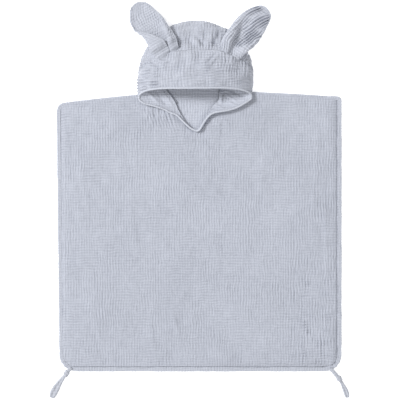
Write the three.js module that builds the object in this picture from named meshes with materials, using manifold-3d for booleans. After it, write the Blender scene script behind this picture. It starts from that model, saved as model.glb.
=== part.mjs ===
// Hooded poncho towel for a toddler: two muslin panels sewn together along the shoulders, a hood
// with two long ears, and a knotted tie at each bottom corner. It lies on its back.
// Millimetres: X across, +Y from the hem to the ears, +Z up from the surface it lies on.
import * as THREE from 'three';
import { mergeVertices } from 'three/addons/utils/BufferGeometryUtils.js';
import Module from 'manifold-3d';

// Body panels
const bodyWidth = 600;
const bodyLength = 591;        // hem to the shoulder line beside the neck
const shoulderDrop = 20;       // fall of the shoulder line from the neck to the side
const topCornerRadius = 20;
const hemCornerRadius = 32;
const clothThick = 2;          // the muslin layers of one panel with their crinkle
const bindingWidth = 9;
const bindingThick = 2.6;
const seamWidth = 5;           // shoulder seam
const sewnGap = 0.4;           // between pieces that are sewn edge to edge
const layerGap = 0.5;          // between pieces that lie on each other

// Neck
const neckX = -6;              // the hood lies a little to the left of the body's middle
const neckWidth = 112;
const slitDepth = 84;          // shoulder line to the bottom of the neck slit
const scoopDepth = 14;         // how far the back panel's neckline dips
const slitTurn = 6;            // half width of the slit near its bottom
const tapeWidth = 4;           // binding of the face opening and the slit

// Hood
const hoodRadius = 121;        // outline of the hood seen from above
const hoodRise = 30;           // centre of that outline above the shoulder line
const hoodHeight = 46;
const hoodWall = 2;
const brimDepth = 61;          // ear seam beyond the centre of the outline
const lipRise = 10;            // middle of the face edge above the shoulder line
const lipEnd = 3;              // its two ends lie lower

// Ears
const earLength = 140.8;
const earWidth = 66;
const earBaseWidth = 42;
const earThick = 1.8;
const earLift = 8;             // base of the lower cloth above the crown at the seam
const ears = [
  { side: 'left', x: -54, heading: 31.5, pitch: -16.5, along: 40 },
  { side: 'right', x: 66, heading: -36, pitch: -14, along: 38 },
];

// Corner ties
const knotRadius = 7;
const tailLength = 40;
const ties = [
  { side: 'left', x: -280, heading: -31, width: 16 },
  { side: 'right', x: 290, heading: 22, width: 12 },
];

const wasm = await Module();
wasm.setup();

const muslin = { color: 0xbfc3cd, roughness: 0.92, metalness: 0 };
const towel = new THREE.Group();

function addPiece(name, geometry, parent = towel) {
  const piece = new THREE.Mesh(geometry, new THREE.MeshStandardMaterial(muslin));
  piece.name = name;
  parent.add(piece);
  return piece;
}

function toSolid(geometry) {
  const bare = geometry.clone();
  bare.deleteAttribute('normal');
  bare.deleteAttribute('uv');
  const merged = mergeVertices(bare, 1e-4);
  return new wasm.Manifold(new wasm.Mesh({
    numProp: 3,
    vertProperties: new Float32Array(merged.attributes.position.array),
    triVerts: new Uint32Array(merged.index.array),
  }));
}

function toGeometry(solid) {
  const mesh = solid.getMesh();
  const geometry = new THREE.BufferGeometry();
  geometry.setAttribute('position', new THREE.BufferAttribute(mesh.vertProperties, 3));
  geometry.setIndex(new THREE.BufferAttribute(mesh.triVerts, 1));
  geometry.computeVertexNormals();
  return geometry;
}

// A flat piece of cloth cut to an outline, lying between two heights
function cutCloth(shape, low, thick) {
  const geometry = new THREE.ExtrudeGeometry(shape, {
    depth: thick,
    bevelEnabled: false,
    curveSegments: 8,
  });
  return geometry.translate(0, 0, low);
}

function polygon(points) {
  return new THREE.Shape(points.map(([x, y]) => new THREE.Vector2(x, y)));
}

function arc(x, y, radius, from, to, steps) {
  const points = [];
  for (let i = 0; i <= steps; i += 1) {
    const angle = from + (to - from) * i / steps;
    points.push([x + radius * Math.cos(angle), y + radius * Math.sin(angle)]);
  }
  return points;
}

const half = bodyWidth / 2;
const neckHalf = neckWidth / 2;
const shoulderSlope = shoulderDrop / (half - neckHalf);
const hingeY = bodyLength - seamWidth - sewnGap;   // top edge of both panels beside the neck
const frontLow = bindingThick + layerGap;
const lapelLow = frontLow + bindingThick + layerGap;

// Panel outline inset from the bound edge, with the neck left to the caller
function panelOutline(inset, top, neckPoints) {
  const side = half - inset;
  const cornerTop = top - shoulderDrop;
  const radiusTop = Math.max(topCornerRadius - inset, 1);
  const radiusHem = Math.max(hemCornerRadius - inset, 1);
  const shape = new THREE.Shape();
  shape.moveTo(-side + radiusHem, inset);
  shape.lineTo(side - radiusHem, inset);
  shape.absarc(side - radiusHem, inset + radiusHem, radiusHem, -Math.PI / 2, 0, false);
  shape.lineTo(side, cornerTop - radiusTop);
  shape.quadraticCurveTo(side, cornerTop, side - radiusTop, cornerTop + radiusTop * shoulderSlope);
  for (const [x, y] of neckPoints) shape.lineTo(x, y);
  shape.lineTo(-side + radiusTop, cornerTop + radiusTop * shoulderSlope);
  shape.quadraticCurveTo(-side, cornerTop, -side, cornerTop - radiusTop);
  shape.lineTo(-side, inset + radiusHem);
  shape.absarc(-side + radiusHem, inset + radiusHem, radiusHem, Math.PI, 1.5 * Math.PI, false);
  return shape;
}

// Necklines, from the right to the left, for a panel whose top edge is at hingeY
const scoopY = bodyLength - scoopDepth;
const slitBottom = bodyLength - slitDepth;
const backNeck = [
  [neckX + neckHalf, hingeY],
  [neckX + neckHalf - scoopDepth, scoopY],
  [neckX - neckHalf + scoopDepth, scoopY],
  [neckX - neckHalf, hingeY],
];
const slitMiddle = bodyLength - slitDepth * 0.55;
const slitSide = neckHalf * 0.55;
const frontNeck = [
  [neckX + neckHalf, hingeY],
  [neckX + slitSide, slitMiddle],
  [neckX + slitTurn, slitBottom],
  [neckX - slitTurn, slitBottom],
  [neckX - slitSide, slitMiddle],
  [neckX - neckHalf, hingeY],
];

// One panel with its binding: two side strips and a hem strip with rounded corners
function addPanel(name, neckPoints, low) {
  const sideInset = bindingWidth + sewnGap;
  addPiece(`${name}_panel`, cutCloth(panelOutline(sideInset, hingeY, neckPoints), low, clothThick));

  const ring = toSolid(cutCloth(panelOutline(0, hingeY, neckPoints), low, bindingThick))
    .subtract(toSolid(cutCloth(panelOutline(bindingWidth, hingeY, neckPoints), low - 1, 2 * bindingThick)));
  const stripTop = hingeY - shoulderDrop - topCornerRadius;
  const joinY = hemCornerRadius + bindingWidth;
  const region = (x, y0, y1, width) => {
    const box = new THREE.BoxGeometry(width, y1 - y0, 20);
    return toSolid(box.translate(x, (y0 + y1) / 2, low));
  };
  const stripWidth = 2 * bindingWidth;
  for (const [side, sign] of [['left', -1], ['right', 1]]) {
    const strip = ring.intersect(region(sign * half, joinY + sewnGap, stripTop, stripWidth));
    addPiece(`${name}_side_binding_${side}`, toGeometry(strip));
  }
  const hem = ring.intersect(region(0, -1, joinY, bodyWidth + 2));
  addPiece(`${name}_hem_binding`, toGeometry(hem));
}

addPanel('back', backNeck, 0);
addPanel('front', frontNeck, frontLow);

// Shoulder seams: the strip where both panels are sewn together
const seamTopLevel = frontLow + clothThick;
for (const [side, sign] of [['left', -1], ['right', 1]]) {
  const inner = neckX + sign * neckHalf;
  const outer = sign * (half - topCornerRadius);
  const innerTop = bodyLength;
  const outerTop = bodyLength - shoulderDrop + topCornerRadius * shoulderSlope;
  const seam = polygon([
    [inner, innerTop - seamWidth],
    [outer, outerTop - seamWidth],
    [outer, outerTop],
    [inner, innerTop],
  ]);
  addPiece(`shoulder_seam_${side}`, cutCloth(seam, 0, seamTopLevel));
}

// Hood. Seen from above it is a half circle on two short straight sides, and it stands up like a
// shell over the hood back, which lies flat.
const hoodY = bodyLength + hoodRise;
const hoodBase = clothThick + layerGap;
const hoodBackShape = polygon([
  [neckX - neckHalf + scoopDepth + 1, scoopY + sewnGap],
  [neckX + neckHalf - scoopDepth - 1, scoopY + sewnGap],
  [neckX + neckHalf - 2, bodyLength + sewnGap],
  [neckX + hoodRadius, bodyLength + sewnGap],
  [neckX + hoodRadius, hoodY],
  ...arc(neckX, hoodY, hoodRadius, 0, Math.PI, 20).slice(1, -1),
  [neckX - hoodRadius, hoodY],
  [neckX - hoodRadius, bodyLength + sewnGap],
  [neckX - neckHalf + 2, bodyLength + sewnGap],
]);
addPiece('hood_back', cutCloth(hoodBackShape, 0, clothThick));

// The full rounded form at a distance inside the outer surface
function hoodForm(inward) {
  const radius = hoodRadius - inward;
  const height = hoodHeight - inward;
  const dome = new THREE.SphereGeometry(1, 32, 20);
  dome.rotateX(Math.PI / 2);
  dome.scale(radius, radius, height);
  const tunnel = new THREE.CylinderGeometry(1, 1, 1, 32);
  tunnel.scale(radius, 2 * hoodRadius, height);
  tunnel.translate(0, -hoodRadius, 0);
  return toSolid(dome).add(toSolid(tunnel)).translate([neckX, hoodY, hoodBase]);
}

const hoodShell = hoodForm(0).subtract(hoodForm(hoodWall));

// Edges of the brim as seen from above: the face edge below, the ear seam above
const lipCurve = new THREE.QuadraticBezierCurve(
  new THREE.Vector2(neckX - hoodRadius - 2, bodyLength - lipEnd + sewnGap),
  new THREE.Vector2(neckX, bodyLength + 2 * lipRise + lipEnd),
  new THREE.Vector2(neckX + hoodRadius + 2, bodyLength - lipEnd + sewnGap),
);
const seamCurve = new THREE.QuadraticBezierCurve(
  new THREE.Vector2(neckX - hoodRadius - 2, hoodY + 14),
  new THREE.Vector2(neckX, hoodY + 2 * brimDepth - 14),
  new THREE.Vector2(neckX + hoodRadius + 2, hoodY + 14),
);
const curvePoints = (curve, dy) => curve.getPoints(16).map((p) => [p.x, p.y + dy]);

function between(lower, upper, low) {
  const shape = polygon([...lower, ...upper.reverse()]);
  return toSolid(cutCloth(shape, low, 2 * hoodHeight));
}

// Where the brim's ends lie on the front panel they start above it
function underBrim() {
  const box = new THREE.BoxGeometry(bodyWidth, 40, lapelLow);
  return toSolid(box.translate(0, bodyLength + sewnGap - 20, lapelLow / 2));
}

const faceEdge = curvePoints(lipCurve, tapeWidth + sewnGap);
const brim = hoodShell.intersect(between(faceEdge, curvePoints(seamCurve, 0), hoodBase));
addPiece('hood_brim', toGeometry(brim.subtract(underBrim())));

const farEdge = [
  [neckX - 1.5 * hoodRadius, hoodY + 2 * hoodRadius],
  [neckX + 1.5 * hoodRadius, hoodY + 2 * hoodRadius],
];
const crown = hoodShell.intersect(between(curvePoints(seamCurve, sewnGap), farEdge, hoodBase));
addPiece('hood_crown', toGeometry(crown));

// Binding over the face edge: a band of the shell, a little thicker than its wall
const faceBand = hoodForm(-0.6).subtract(hoodForm(hoodWall + 0.6))
  .intersect(between(curvePoints(lipCurve, 0), curvePoints(lipCurve, tapeWidth), hoodBase))
  .subtract(underBrim());
addPiece('face_binding', toGeometry(faceBand));

// Sides of the hood below the face opening, turned out over the front panel, and their binding
for (const [side, sign] of [['left', -1], ['right', 1]]) {
  const seamTop = [neckX + sign * (neckHalf + 2), bodyLength - 12];
  const seamLow = [neckX + sign * (slitTurn + 2), slitBottom + 3];
  const corner = [neckX + sign * (hoodRadius - 22), bodyLength - 14];
  const edge = new THREE.CubicBezierCurve(
    new THREE.Vector2(corner[0], corner[1] - 8),
    new THREE.Vector2(neckX + sign * neckHalf * 0.9, bodyLength - slitDepth * 0.45),
    new THREE.Vector2(neckX + sign * neckHalf * 0.52, bodyLength - slitDepth * 0.62),
    new THREE.Vector2(seamLow[0], seamLow[1]),
  );
  const outer = edge.getPoints(14).map((p) => [p.x, p.y]);
  const cloth = polygon([seamTop, corner, ...outer]);
  addPiece(`hood_side_${side}`, cutCloth(cloth, lapelLow, clothThick));

  const strip = edge.getPoints(14).map((p, i) => {
    const normal = edge.getTangent(i / 14);
    return [p, new THREE.Vector2(normal.y, -normal.x).multiplyScalar(-sign)];
  });
  const near = strip.map(([p, n]) => [p.x + n.x * sewnGap, p.y + n.y * sewnGap]);
  const far = strip.map(([p, n]) => [
    p.x + n.x * (tapeWidth + sewnGap),
    p.y + n.y * (tapeWidth + sewnGap),
  ]);
  addPiece(`slit_binding_${side}`, cutCloth(polygon([...near, ...far.reverse()]), lapelLow, bindingThick));
}

// Ears: an outer cloth below and a lining above, sewn into the seam between brim and crown
function earShape() {
  const width = earWidth / 2;
  const base = earBaseWidth / 2;
  const shape = new THREE.Shape();
  shape.moveTo(-base, 0);
  shape.lineTo(base, 0);
  shape.bezierCurveTo(base + 4, earLength * 0.25, width + 3, earLength * 0.4, width, earLength * 0.62);
  shape.bezierCurveTo(width - 3, earLength * 0.88, base * 0.5, earLength, 0, earLength);
  shape.bezierCurveTo(-base * 0.5, earLength, -width + 3, earLength * 0.88, -width, earLength * 0.62);
  shape.bezierCurveTo(-width - 3, earLength * 0.4, -base - 4, earLength * 0.25, -base, 0);
  return shape;
}

for (const ear of ears) {
  const offset = ear.x - neckX;
  const baseHeight = hoodHeight * Math.sqrt(1 - (offset ** 2 + ear.along ** 2) / hoodRadius ** 2);
  const turned = new THREE.Group();
  turned.position.set(ear.x, hoodY + ear.along, hoodBase + baseHeight + earLift);
  turned.rotation.order = 'ZXY';
  turned.rotation.z = THREE.MathUtils.degToRad(ear.heading);
  turned.rotation.x = THREE.MathUtils.degToRad(ear.pitch);
  towel.add(turned);
  addPiece(`${ear.side}_ear_outer`, cutCloth(earShape(), 0, earThick), turned);
  addPiece(`${ear.side}_ear_lining`, cutCloth(earShape(), earThick + sewnGap, earThick), turned);
}

// Corner ties: a knot against the hem and a leaf-shaped tail that swings from it
const tieHeight = lapelLow;
const knotY = -knotRadius - sewnGap;
const swingGap = 1;
const neckRadius = 3;
for (const tie of ties) {
  const knot = new THREE.SphereGeometry(1, 16, 10);
  knot.rotateX(Math.PI / 2);
  knot.scale(knotRadius, knotRadius, tieHeight * 0.7);
  const cut = new THREE.BoxGeometry(4 * knotRadius, 4 * knotRadius, tieHeight);
  cut.translate(tie.x, knotY, tieHeight / 2);
  const body = toSolid(knot.translate(tie.x, knotY, tieHeight / 2)).intersect(toSolid(cut));
  addPiece(`${tie.side}_tie_knot`, toGeometry(body));

  const tail = new THREE.Shape();
  const wide = tie.width / 2;
  tail.absarc(0, 0, neckRadius, 0, Math.PI, false);
  tail.bezierCurveTo(-neckRadius, -tailLength * 0.3, -wide - 1, -tailLength * 0.5, -wide, -tailLength * 0.8);
  tail.quadraticCurveTo(-wide * 0.8, -tailLength, 0, -tailLength);
  tail.quadraticCurveTo(wide * 0.8, -tailLength, wide, -tailLength * 0.8);
  tail.bezierCurveTo(wide + 1, -tailLength * 0.5, neckRadius, -tailLength * 0.3, neckRadius, 0);
  const reach = knotRadius + swingGap + neckRadius;
  const angle = THREE.MathUtils.degToRad(tie.heading);
  const piece = addPiece(`${tie.side}_tie_tail`, cutCloth(tail, 0, clothThick + bindingThick));
  piece.position.set(tie.x + reach * Math.sin(angle), knotY - reach * Math.cos(angle), 0);
  piece.rotation.z = angle;
}

// Origin: the middle of the footprint, on the surface the towel lies on
const footprint = new THREE.Box3().setFromObject(towel, true);
const middle = footprint.getCenter(new THREE.Vector3());
towel.position.set(-middle.x, -middle.y, -footprint.min.z);

export default towel;
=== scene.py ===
import math

import bpy
import numpy as np
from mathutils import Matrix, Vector


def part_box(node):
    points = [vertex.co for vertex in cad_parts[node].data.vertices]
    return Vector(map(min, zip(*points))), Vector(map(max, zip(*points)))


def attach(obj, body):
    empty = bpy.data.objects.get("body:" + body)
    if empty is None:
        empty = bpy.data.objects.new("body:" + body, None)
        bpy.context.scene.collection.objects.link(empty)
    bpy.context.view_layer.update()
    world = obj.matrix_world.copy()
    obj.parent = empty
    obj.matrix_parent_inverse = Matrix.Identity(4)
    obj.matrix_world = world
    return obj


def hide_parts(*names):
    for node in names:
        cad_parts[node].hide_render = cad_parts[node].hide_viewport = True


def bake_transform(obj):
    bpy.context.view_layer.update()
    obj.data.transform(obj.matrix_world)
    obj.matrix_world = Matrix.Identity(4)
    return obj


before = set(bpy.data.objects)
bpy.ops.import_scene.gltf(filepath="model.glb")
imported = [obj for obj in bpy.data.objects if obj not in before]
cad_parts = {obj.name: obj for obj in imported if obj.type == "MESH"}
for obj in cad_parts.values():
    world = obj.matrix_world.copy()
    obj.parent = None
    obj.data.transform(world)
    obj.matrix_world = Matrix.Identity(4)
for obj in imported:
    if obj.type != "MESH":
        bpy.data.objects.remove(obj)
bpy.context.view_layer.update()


# curves and noise
def deselectAll():
    for item in bpy.context.selected_objects:
        item.select_set(False)


def smoothStep(low, high, value):
    t = np.clip((value - low) / (high - low), 0.0, 1.0)
    return t * t * (3 - 2 * t)


def distanceAlong(path):
    return np.concatenate([[0], np.cumsum(np.linalg.norm(np.diff(path, axis=0), axis=1))])


def pick(at, along, values):
    # the values, one row for each place along, read at other places
    return np.stack([np.interp(at, along, values[:, k]) for k in range(values.shape[1])], axis=1)


def curveThrough(points, count):
    # Catmull-Rom through the points, then evenly spaced along the curve
    steps = 24
    pts = np.array(points, float)
    pts = np.vstack([2 * pts[0] - pts[1], pts, 2 * pts[-1] - pts[-2]])
    fine = []
    for k in range(1, len(pts) - 2):
        p0, p1, p2, p3 = pts[k - 1:k + 3]
        for t in np.linspace(0, 1, steps, endpoint=False):
            fine.append(0.5 * (2 * p1 + (p2 - p0) * t + (2 * p0 - 5 * p1 + 4 * p2 - p3) * t ** 2
                               + (3 * p1 - p0 - 3 * p2 + p3) * t ** 3))
    fine.append(pts[-2])
    fine = np.array(fine)
    length = distanceAlong(fine)
    at = np.linspace(0, length[-1], count)
    return pick(at, length, fine)


def spaced(points, gap):
    # which points to keep so that no two in a row are closer than the gap
    keep = [0]
    for k in range(1, len(points)):
        if np.linalg.norm(points[k] - points[keep[-1]]) > gap:
            keep.append(k)
    return keep


def asPoints(*parts):
    return np.stack(parts, axis=-1)


def levelUps(count):
    return np.tile([0.0, 0.0, 1.0], (count, 1))


# Noise that looks like crinkled gauze: white noise kept only near one wavelength
fieldStep = 0.001  # metres between samples
fieldSize = 1024


def bandNoise(seed, waveX, waveY, spreadX, spreadY):
    rng = np.random.default_rng(seed)
    spectrum = np.fft.rfft2(rng.standard_normal((fieldSize, fieldSize)))
    ky = np.abs(np.fft.fftfreq(fieldSize, fieldStep))[:, None]
    kx = np.abs(np.fft.rfftfreq(fieldSize, fieldStep))[None, :]
    keep = np.exp(-((kx - waveX) / spreadX) ** 2 - ((ky - waveY) / spreadY) ** 2)
    field = np.fft.irfft2(spectrum * keep, s=(fieldSize, fieldSize))
    return field / field.std()


def sample(field, x, y):
    gx = np.asarray(x) / fieldStep
    gy = np.asarray(y) / fieldStep
    x0 = np.floor(gx).astype(int)
    y0 = np.floor(gy).astype(int)
    fx = gx - x0
    fy = gy - y0
    n = fieldSize
    a = field[y0 % n, x0 % n] * (1 - fx) + field[y0 % n, (x0 + 1) % n] * fx
    b = field[(y0 + 1) % n, x0 % n] * (1 - fx) + field[(y0 + 1) % n, (x0 + 1) % n] * fx
    return a * (1 - fy) + b * fy


gauze = {
    "wave": 0.0062,  # spacing of the crinkles
    "spread": 38,  # how uneven that spacing is, in waves a metre
    "run": 0.022,  # how far one crinkle runs
    "patch": 0.075,  # size of the patches where one direction rules
    "height": 0.00034,
    "drift": 0.16,  # size of the widest swells
    "soft": 0.035,  # size of the small ones
}
upright = bandNoise(3, 1 / gauze["wave"], 0, gauze["spread"], 1 / gauze["run"])
level = bandNoise(5, 0, 1 / gauze["wave"], 1 / gauze["run"], gauze["spread"])
patches = bandNoise(7, 0, 0, 1 / gauze["patch"], 1 / gauze["patch"])
drift = bandNoise(11, 0, 0, 1 / gauze["drift"], 1 / gauze["drift"])
soft = bandNoise(13, 0, 0, 1 / gauze["soft"], 1 / gauze["soft"])


clothAt = {  # how far along the noise each piece's cloth was cut, so no two are alike
    "backPanel": 0.4,
    "hoodBack": 0.3,
    "hoodSide": 0.7,
    "crown": 0.5,
    "rightEar": 0.1,
}


def crinkle(x, y, lean=0.0):
    # height of the gauze's crinkles, in units of the crinkle height. lean > 0 favours upright ones
    share = smoothStep(-0.9, 0.9, sample(patches, x, y) + lean)
    a = sample(upright, x, y)
    b = sample(level, x, y)
    return (0.25 + 0.75 * share) * a + (1.0 - 0.75 * share) * b


def creases(x, y, folds):
    # sum of ridges, each (x0, y0, x1, y1, half width, height), tapering to both ends
    total = np.zeros_like(x)
    for x0, y0, x1, y1, width, height in folds:
        dx, dy = x1 - x0, y1 - y0
        size = dx * dx + dy * dy
        t = ((x - x0) * dx + (y - y0) * dy) / size
        away = np.hypot(x - x0 - t * dx, y - y0 - t * dy)
        taper = smoothStep(-0.15, 0.25, t) * (1 - smoothStep(0.75, 1.15, t))
        total += height * np.exp(-(away / width) ** 2) * taper
    return total


# mesh helpers
def placesOf(mesh):
    flat = np.empty(len(mesh.vertices) * 3)
    mesh.vertices.foreach_get("co", flat)
    return flat.reshape(-1, 3)


def setClothMap(mesh, uv):
    # uv holds one cloth coordinate for each vertex
    for layer in list(mesh.uv_layers):
        mesh.uv_layers.remove(layer)
    layer = mesh.uv_layers.new(name="cloth")
    corner = np.empty(len(mesh.loops), int)
    mesh.loops.foreach_get("vertex_index", corner)
    layer.data.foreach_set("uv", uv[corner].astype(np.float32).ravel())
    mesh.update()


def gridObject(name, points, uv):
    # a grid primitive whose vertices are moved to points[row, column], with its own cloth map
    rows, columns = points.shape[:2]
    deselectAll()
    bpy.ops.mesh.primitive_grid_add(x_subdivisions=columns - 1, y_subdivisions=rows - 1, size=1)
    obj = bpy.context.object
    obj.name = name
    mesh = obj.data
    mesh.name = name
    flat = placesOf(mesh)
    i = np.rint((flat[:, 0] + 0.5) * (columns - 1)).astype(int)
    j = np.rint((flat[:, 1] + 0.5) * (rows - 1)).astype(int)
    mesh.vertices.foreach_set("co", points[j, i].astype(np.float32).ravel())
    setClothMap(mesh, uv[j, i])
    return obj


def normalsOf(points):
    du = np.gradient(points, axis=1)
    dv = np.gradient(points, axis=0)
    n = np.cross(du, dv)
    return n / np.maximum(np.linalg.norm(n, axis=2, keepdims=True), 1e-12)


def facingUp(points, uv):
    # the same grid, mirrored if it would face down
    if normalsOf(points)[..., 2].mean() < 0:
        return points[:, ::-1], uv[:, ::-1]
    return points, uv


def onlyActive(obj):
    deselectAll()
    obj.select_set(True)
    bpy.context.view_layer.objects.active = obj


def applyModifier(obj, kind, **settings):
    onlyActive(obj)
    modifier = obj.modifiers.new(kind.title(), kind)
    for key, value in settings.items():
        setattr(modifier, key, value)
    bpy.ops.object.modifier_apply(modifier=modifier.name)


def finishMesh(obj):
    # every face turned outward, and shaded smooth
    onlyActive(obj)
    bpy.ops.object.mode_set(mode="EDIT")
    bpy.ops.mesh.select_all(action="SELECT")
    bpy.ops.mesh.normals_make_consistent(inside=False)
    bpy.ops.object.mode_set(mode="OBJECT")
    bpy.ops.object.shade_smooth()


def thickSheet(name, points, uv, thickness, offset=-1.0):
    obj = gridObject(name, points, uv)
    applyModifier(obj, "SOLIDIFY", thickness=thickness, offset=offset, use_rim=True,
                  use_even_offset=False)
    finishMesh(obj)
    return obj


def selectRim():
    bpy.ops.mesh.select_mode(type="EDGE")
    bpy.ops.mesh.select_all(action="DESELECT")
    bpy.ops.mesh.select_non_manifold(extend=False, use_wire=False, use_multi_face=False,
                                     use_non_contiguous=False, use_verts=False)


def joinInto(obj, other):
    deselectAll()
    other.select_set(True)
    obj.select_set(True)
    bpy.context.view_layer.objects.active = obj
    bpy.ops.object.join()


def twoFacedSheet(name, top, topUv, under, underUv):
    # a dense upper grid and a coarser lower one, closed round the edge
    obj = gridObject(name, top, topUv)
    lower = gridObject(name + "Under", under, underUv)
    joinInto(obj, lower)
    bpy.ops.object.mode_set(mode="EDIT")
    selectRim()
    bpy.ops.mesh.bridge_edge_loops()
    bpy.ops.object.mode_set(mode="OBJECT")
    finishMesh(obj)
    return obj


def tube(name, path, ups, ring):
    # sweeps a closed ring of (across, up) offsets along a path. ups are the path's up directions
    path = np.asarray(path, float)
    ups = np.asarray(ups, float)
    tangent = np.gradient(path, axis=0)
    tangent /= np.linalg.norm(tangent, axis=1, keepdims=True)
    across = np.cross(tangent, ups)
    across /= np.linalg.norm(across, axis=1, keepdims=True)
    up = np.cross(across, tangent)
    ring = np.asarray(ring, float)
    if ring.ndim == 2:
        ring = np.repeat(ring[None], len(path), axis=0)
    closed = np.concatenate([ring, ring[:, :1]], axis=1)
    points = (path[:, None] + closed[:, :, :1] * across[:, None] + closed[:, :, 1:] * up[:, None])
    along = distanceAlong(path)
    around = distanceAlong(closed[0])
    uv = np.stack(np.broadcast_arrays(around[None, :], along[:, None]), axis=2)
    obj = gridObject(name, points, uv)
    onlyActive(obj)
    bpy.ops.object.mode_set(mode="EDIT")
    bpy.ops.mesh.select_all(action="SELECT")
    bpy.ops.mesh.remove_doubles(threshold=1e-6)
    selectRim()
    bpy.ops.mesh.edge_face_add()
    bpy.ops.object.mode_set(mode="OBJECT")
    finishMesh(obj)
    return obj


def roundedRing(width, height, count=14, power=2.6):
    # a flat rounded section, as (across, up)
    ring = []
    for k in range(count):
        a = 2 * math.pi * k / count
        c, s = math.cos(a), math.sin(a)
        ring.append((width / 2 * math.copysign(abs(c) ** (2 / power), c),
                     height / 2 * math.copysign(abs(s) ** (2 / power), s)))
    return ring


# sizes read from the frame
def boxOf(*nodes):
    boxes = [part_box(n) for n in nodes]
    low = [min(b[0][k] for b in boxes) for k in range(3)]
    high = [max(b[1][k] for b in boxes) for k in range(3)]
    return low, high


frontLow, frontHigh = boxOf("front_panel", "front_side_binding_left", "front_side_binding_right",
                            "front_hem_binding")
hemY = frontLow[1]
sideLeft = frontLow[0]
sideRight = frontHigh[0]
shoulderY = boxOf("shoulder_seam_left")[1][1]
hoodLow, hoodHigh = boxOf("hood_back")
hoodR = (hoodHigh[0] - hoodLow[0]) / 2
hoodX = (hoodLow[0] + hoodHigh[0]) / 2
hoodY = hoodHigh[1] - hoodR
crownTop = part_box("hood_brim")[1][2]
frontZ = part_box("front_panel")[0][2]
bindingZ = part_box("front_hem_binding")[1][2]


# camera, floor and light
studio = {
    "frame": 0.8452,  # width of floor in view
    "lens": 120.0,
    "aimX": 0.0026,
    "aimY": 0.0,
    "world": 0.56,
    "key": 525,  # watts of the soft box, far enough away to fall off only a little
    "keySize": 1.9,
    "keyPlace": (-5.2, 2.6, 5.0),
    "fill": 0.85,  # from the hem's side, into the hood
    "fillSpread": 40,
    "fillWay": (-0.15, 0.85, -0.80),
    "glow": 0.50,  # the floor is lit from below, as on a light table
    "floorTone": (0.93, 0.93, 0.935, 1),
    "floorDrop": 0.0006,
}


white = (1, 1, 1, 1)


def setInputs(node, values):
    for name, value in values.items():
        node.inputs[name].default_value = value


def makeStudio():
    camera = bpy.data.cameras.new("camera")
    camera.lens = studio["lens"]
    camera.sensor_width = 36
    seat = bpy.data.objects.new("camera", camera)
    distance = studio["frame"] * studio["lens"] / camera.sensor_width
    seat.location = (studio["aimX"], studio["aimY"], distance + bindingZ)
    bpy.context.scene.collection.objects.link(seat)
    bpy.context.scene.camera = seat
    camera.clip_end = 50

    deselectAll()
    bpy.ops.mesh.primitive_plane_add(size=30, location=(0, 0, -studio["floorDrop"]))
    floor = bpy.context.object
    floor.name = "floor"
    paint = bpy.data.materials.new("floorPaint")
    paint.use_nodes = True
    setInputs(paint.node_tree.nodes["Principled BSDF"],
              {"Base Color": studio["floorTone"], "Roughness": 0.9, "Specular IOR Level": 0.1,
               "Emission Color": white, "Emission Strength": studio["glow"]})
    floor.data.materials.append(paint)

    world = bpy.data.worlds.new("studioWorld")
    world.use_nodes = True
    setInputs(world.node_tree.nodes["Background"], {"Color": white, "Strength": studio["world"]})
    bpy.context.scene.world = world

    def addLight(name, kind, energy, way, place=(0, 0, 0)):
        light = bpy.data.lights.new(name, kind)
        light.energy = energy
        obj = bpy.data.objects.new(name, light)
        obj.location = place
        obj.rotation_mode = "QUATERNION"
        obj.rotation_quaternion = way.to_track_quat("-Z", "Y")
        bpy.context.scene.collection.objects.link(obj)
        return light

    box = addLight("keyBox", "AREA", studio["key"], -Vector(studio["keyPlace"]), studio["keyPlace"])
    box.size = studio["keySize"]
    sun = addLight("fillSun", "SUN", studio["fill"], Vector(studio["fillWay"]))
    sun.angle = math.radians(studio["fillSpread"])
    bpy.context.scene.view_settings.view_transform = "Standard"


makeStudio()
print("studio ready")


# materials
weave = {
    "roughness": 0.93,
    "specular": 0.25,
    "sheen": 0.25,
    "sheenRoughness": 0.6,
    "ribs": 56.0,  # bands about 5.6 mm apart
    "ribWaver": 5.0,
    "dashes": 190.0,  # short broken crinkles
    "threads": 320.0,
    "patches": 13.0,  # where one direction of ribs rules
    "clouds": 9.0,  # slow change of tone
    "depth": 0.0013,
}


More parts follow.
